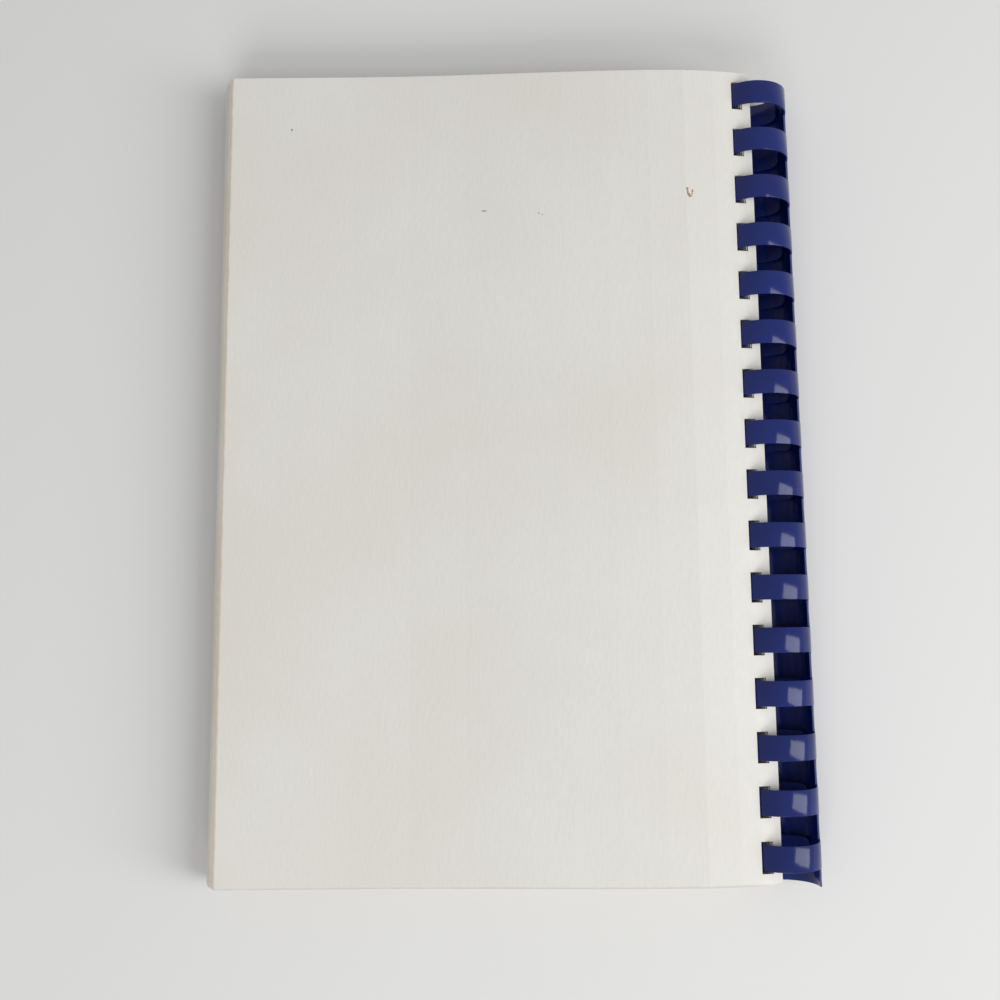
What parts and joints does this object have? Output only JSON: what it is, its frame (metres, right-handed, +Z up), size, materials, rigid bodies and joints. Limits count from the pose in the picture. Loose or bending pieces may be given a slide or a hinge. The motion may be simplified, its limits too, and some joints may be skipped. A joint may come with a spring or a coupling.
{
  "type": "comb bound booklet",
  "caption": "Comb-bound booklet lying on its front cover: curled plastic comb with a row of tines through punched card covers and leaf sections that turn over.",
  "frame": {"origin": "middle of the booklet's outline, on the plane it lies on", "axes": "+X from the fore-edge to the comb, +Y along the comb from the foot of the pages to the head, +Z up"},
  "size_m": [0.1669, 0.2304, 0.0195],
  "materials": {
    "comb_plastic": "glossy",
    "cover_card": "matt",
    "leaf_paper": "matt"
  },
  "bodies": {
    "comb": {"comb": "comb_plastic"},
    "front_cover": {"front_cover": "cover_card"},
    "leaves_01": {"leaves_01": "leaf_paper"},
    "leaves_02": {"leaves_02": "leaf_paper"},
    "leaves_03": {"leaves_03": "leaf_paper"},
    "leaves_04": {"leaves_04": "leaf_paper"},
    "leaves_05": {"leaves_05": "leaf_paper"},
    "leaves_06": {"leaves_06": "leaf_paper"},
    "leaves_07": {"leaves_07": "leaf_paper"},
    "leaves_08": {"leaves_08": "leaf_paper"},
    "leaves_09": {"leaves_09": "leaf_paper"},
    "leaves_10": {"leaves_10": "leaf_paper"},
    "leaves_11": {"leaves_11": "leaf_paper"},
    "leaves_12": {"leaves_12": "leaf_paper"},
    "leaves_13": {"leaves_13": "leaf_paper"},
    "leaves_14": {"leaves_14": "leaf_paper"},
    "leaves_15": {"leaves_15": "leaf_paper"},
    "leaves_16": {"leaves_16": "leaf_paper"},
    "leaves_17": {"leaves_17": "leaf_paper"},
    "leaves_18": {"leaves_18": "leaf_paper"},
    "leaves_19": {"leaves_19": "leaf_paper"},
    "leaves_20": {"leaves_20": "leaf_paper"},
    "leaves_21": {"leaves_21": "leaf_paper"},
    "leaves_22": {"leaves_22": "leaf_paper"},
    "leaves_23": {"leaves_23": "leaf_paper"},
    "leaves_24": {"leaves_24": "leaf_paper"},
    "back_cover": {"back_cover": "cover_card"}
  },
  "joints": [
    {"name": "back_cover_turn", "type": "hinge", "parent": "front_cover", "child": "back_cover", "pos_m": [0.07472, 0, 0.0112], "axis": [0, 1, 0], "range_deg": [0, 178]},
    {"name": "comb_roll", "type": "hinge", "parent": "front_cover", "child": "comb", "pos_m": [0.07374, 0, 0.00975], "axis": [0, 1, 0], "range_deg": [0, 33.83]},
    {"name": "leaves_01_turn", "type": "hinge", "parent": "front_cover", "child": "leaves_01", "pos_m": [0.07374, 0, 0.01105], "axis": [0, 1, 0], "range_deg": [0, 0.37]},
    {"name": "leaves_02_turn", "type": "hinge", "parent": "front_cover", "child": "leaves_02", "pos_m": [0.07374, 0, 0.01105], "axis": [0, 1, 0], "range_deg": [0, 0.73]},
    {"name": "leaves_03_turn", "type": "hinge", "parent": "front_cover", "child": "leaves_03", "pos_m": [0.07374, 0, 0.01105], "axis": [0, 1, 0], "range_deg": [0, 1.08]},
    {"name": "leaves_04_turn", "type": "hinge", "parent": "front_cover", "child": "leaves_04", "pos_m": [0.07374, 0, 0.01105], "axis": [0, 1, 0], "range_deg": [0, 1.44]},
    {"name": "leaves_05_turn", "type": "hinge", "parent": "front_cover", "child": "leaves_05", "pos_m": [0.07374, 0, 0.01105], "axis": [0, 1, 0], "range_deg": [0, 1.79]},
    {"name": "leaves_06_turn", "type": "hinge", "parent": "front_cover", "child": "leaves_06", "pos_m": [0.07374, 0, 0.01105], "axis": [0, 1, 0], "range_deg": [0, 2.15]},
    {"name": "leaves_07_turn", "type": "hinge", "parent": "front_cover", "child": "leaves_07", "pos_m": [0.07374, 0, 0.01105], "axis": [0, 1, 0], "range_deg": [0, 2.51]},
    {"name": "leaves_08_turn", "type": "hinge", "parent": "front_cover", "child": "leaves_08", "pos_m": [0.07374, 0, 0.01105], "axis": [0, 1, 0], "range_deg": [0, 2.86]},
    {"name": "leaves_09_turn", "type": "hinge", "parent": "front_cover", "child": "leaves_09", "pos_m": [0.07374, 0, 0.01105], "axis": [0, 1, 0], "range_deg": [0, 3.22]},
    {"name": "leaves_10_turn", "type": "hinge", "parent": "front_cover", "child": "leaves_10", "pos_m": [0.07374, 0, 0.01105], "axis": [0, 1, 0], "range_deg": [0, 3.57]},
    {"name": "leaves_11_turn", "type": "hinge", "parent": "front_cover", "child": "leaves_11", "pos_m": [0.07374, 0, 0.01105], "axis": [0, 1, 0], "range_deg": [0, 3.93]},
    {"name": "leaves_12_turn", "type": "hinge", "parent": "front_cover", "child": "leaves_12", "pos_m": [0.07374, 0, 0.01105], "axis": [0, 1, 0], "range_deg": [0, 4.29]},
    {"name": "leaves_13_turn", "type": "hinge", "parent": "front_cover", "child": "leaves_13", "pos_m": [0.07359, 0, 0.01165], "axis": [0, 1, 0], "range_deg": [0, 171.61]},
    {"name": "leaves_14_turn", "type": "hinge", "parent": "front_cover", "child": "leaves_14", "pos_m": [0.07368, 0, 0.01165], "axis": [0, 1, 0], "range_deg": [0, 172.14]},
    {"name": "leaves_15_turn", "type": "hinge", "parent": "front_cover", "child": "leaves_15", "pos_m": [0.07377, 0, 0.01164], "axis": [0, 1, 0], "range_deg": [0, 172.67]},
    {"name": "leaves_16_turn", "type": "hinge", "parent": "front_cover", "child": "leaves_16", "pos_m": [0.07387, 0, 0.01162], "axis": [0, 1, 0], "range_deg": [0, 173.21]},
    {"name": "leaves_17_turn", "type": "hinge", "parent": "front_cover", "child": "leaves_17", "pos_m": [0.07396, 0, 0.0116], "axis": [0, 1, 0], "range_deg": [0, 173.74]},
    {"name": "leaves_18_turn", "type": "hinge", "parent": "front_cover", "child": "leaves_18", "pos_m": [0.07406, 0, 0.01157], "axis": [0, 1, 0], "range_deg": [0, 174.28]},
    {"name": "leaves_19_turn", "type": "hinge", "parent": "front_cover", "child": "leaves_19", "pos_m": [0.07415, 0, 0.01154], "axis": [0, 1, 0], "range_deg": [0, 174.81]},
    {"name": "leaves_20_turn", "type": "hinge", "parent": "front_cover", "child": "leaves_20", "pos_m": [0.07425, 0, 0.0115], "axis": [0, 1, 0], "range_deg": [0, 175.34]},
    {"name": "leaves_21_turn", "type": "hinge", "parent": "front_cover", "child": "leaves_21", "pos_m": [0.07434, 0, 0.01145], "axis": [0, 1, 0], "range_deg": [0, 175.88]},
    {"name": "leaves_22_turn", "type": "hinge", "parent": "front_cover", "child": "leaves_22", "pos_m": [0.07443, 0, 0.0114], "axis": [0, 1, 0], "range_deg": [0, 176.41]},
    {"name": "leaves_23_turn", "type": "hinge", "parent": "front_cover", "child": "leaves_23", "pos_m": [0.07453, 0, 0.01134], "axis": [0, 1, 0], "range_deg": [0, 176.95]},
    {"name": "leaves_24_turn", "type": "hinge", "parent": "front_cover", "child": "leaves_24", "pos_m": [0.07462, 0, 0.01127], "axis": [0, 1, 0], "range_deg": [0, 177.48]}
  ],
  "couplings": [
    {"joint": "comb_roll", "follows": "back_cover_turn", "ratio": 0.19},
    {"joint": "leaves_01_turn", "follows": "back_cover_turn", "ratio": 0.002},
    {"joint": "leaves_02_turn", "follows": "back_cover_turn", "ratio": 0.004},
    {"joint": "leaves_03_turn", "follows": "back_cover_turn", "ratio": 0.006},
    {"joint": "leaves_04_turn", "follows": "back_cover_turn", "ratio": 0.008},
    {"joint": "leaves_05_turn", "follows": "back_cover_turn", "ratio": 0.01},
    {"joint": "leaves_06_turn", "follows": "back_cover_turn", "ratio": 0.012},
    {"joint": "leaves_07_turn", "follows": "back_cover_turn", "ratio": 0.014},
    {"joint": "leaves_08_turn", "follows": "back_cover_turn", "ratio": 0.016},
    {"joint": "leaves_09_turn", "follows": "back_cover_turn", "ratio": 0.018},
    {"joint": "leaves_10_turn", "follows": "back_cover_turn", "ratio": 0.02},
    {"joint": "leaves_11_turn", "follows": "back_cover_turn", "ratio": 0.022},
    {"joint": "leaves_12_turn", "follows": "back_cover_turn", "ratio": 0.024},
    {"joint": "leaves_13_turn", "follows": "back_cover_turn", "ratio": 0.964},
    {"joint": "leaves_14_turn", "follows": "back_cover_turn", "ratio": 0.967},
    {"joint": "leaves_15_turn", "follows": "back_cover_turn", "ratio": 0.97},
    {"joint": "leaves_16_turn", "follows": "back_cover_turn", "ratio": 0.973},
    {"joint": "leaves_17_turn", "follows": "back_cover_turn", "ratio": 0.976},
    {"joint": "leaves_18_turn", "follows": "back_cover_turn", "ratio": 0.979},
    {"joint": "leaves_19_turn", "follows": "back_cover_turn", "ratio": 0.982},
    {"joint": "leaves_20_turn", "follows": "back_cover_turn", "ratio": 0.985},
    {"joint": "leaves_21_turn", "follows": "back_cover_turn", "ratio": 0.988},
    {"joint": "leaves_22_turn", "follows": "back_cover_turn", "ratio": 0.991},
    {"joint": "leaves_23_turn", "follows": "back_cover_turn", "ratio": 0.994},
    {"joint": "leaves_24_turn", "follows": "back_cover_turn", "ratio": 0.997}
  ]
}
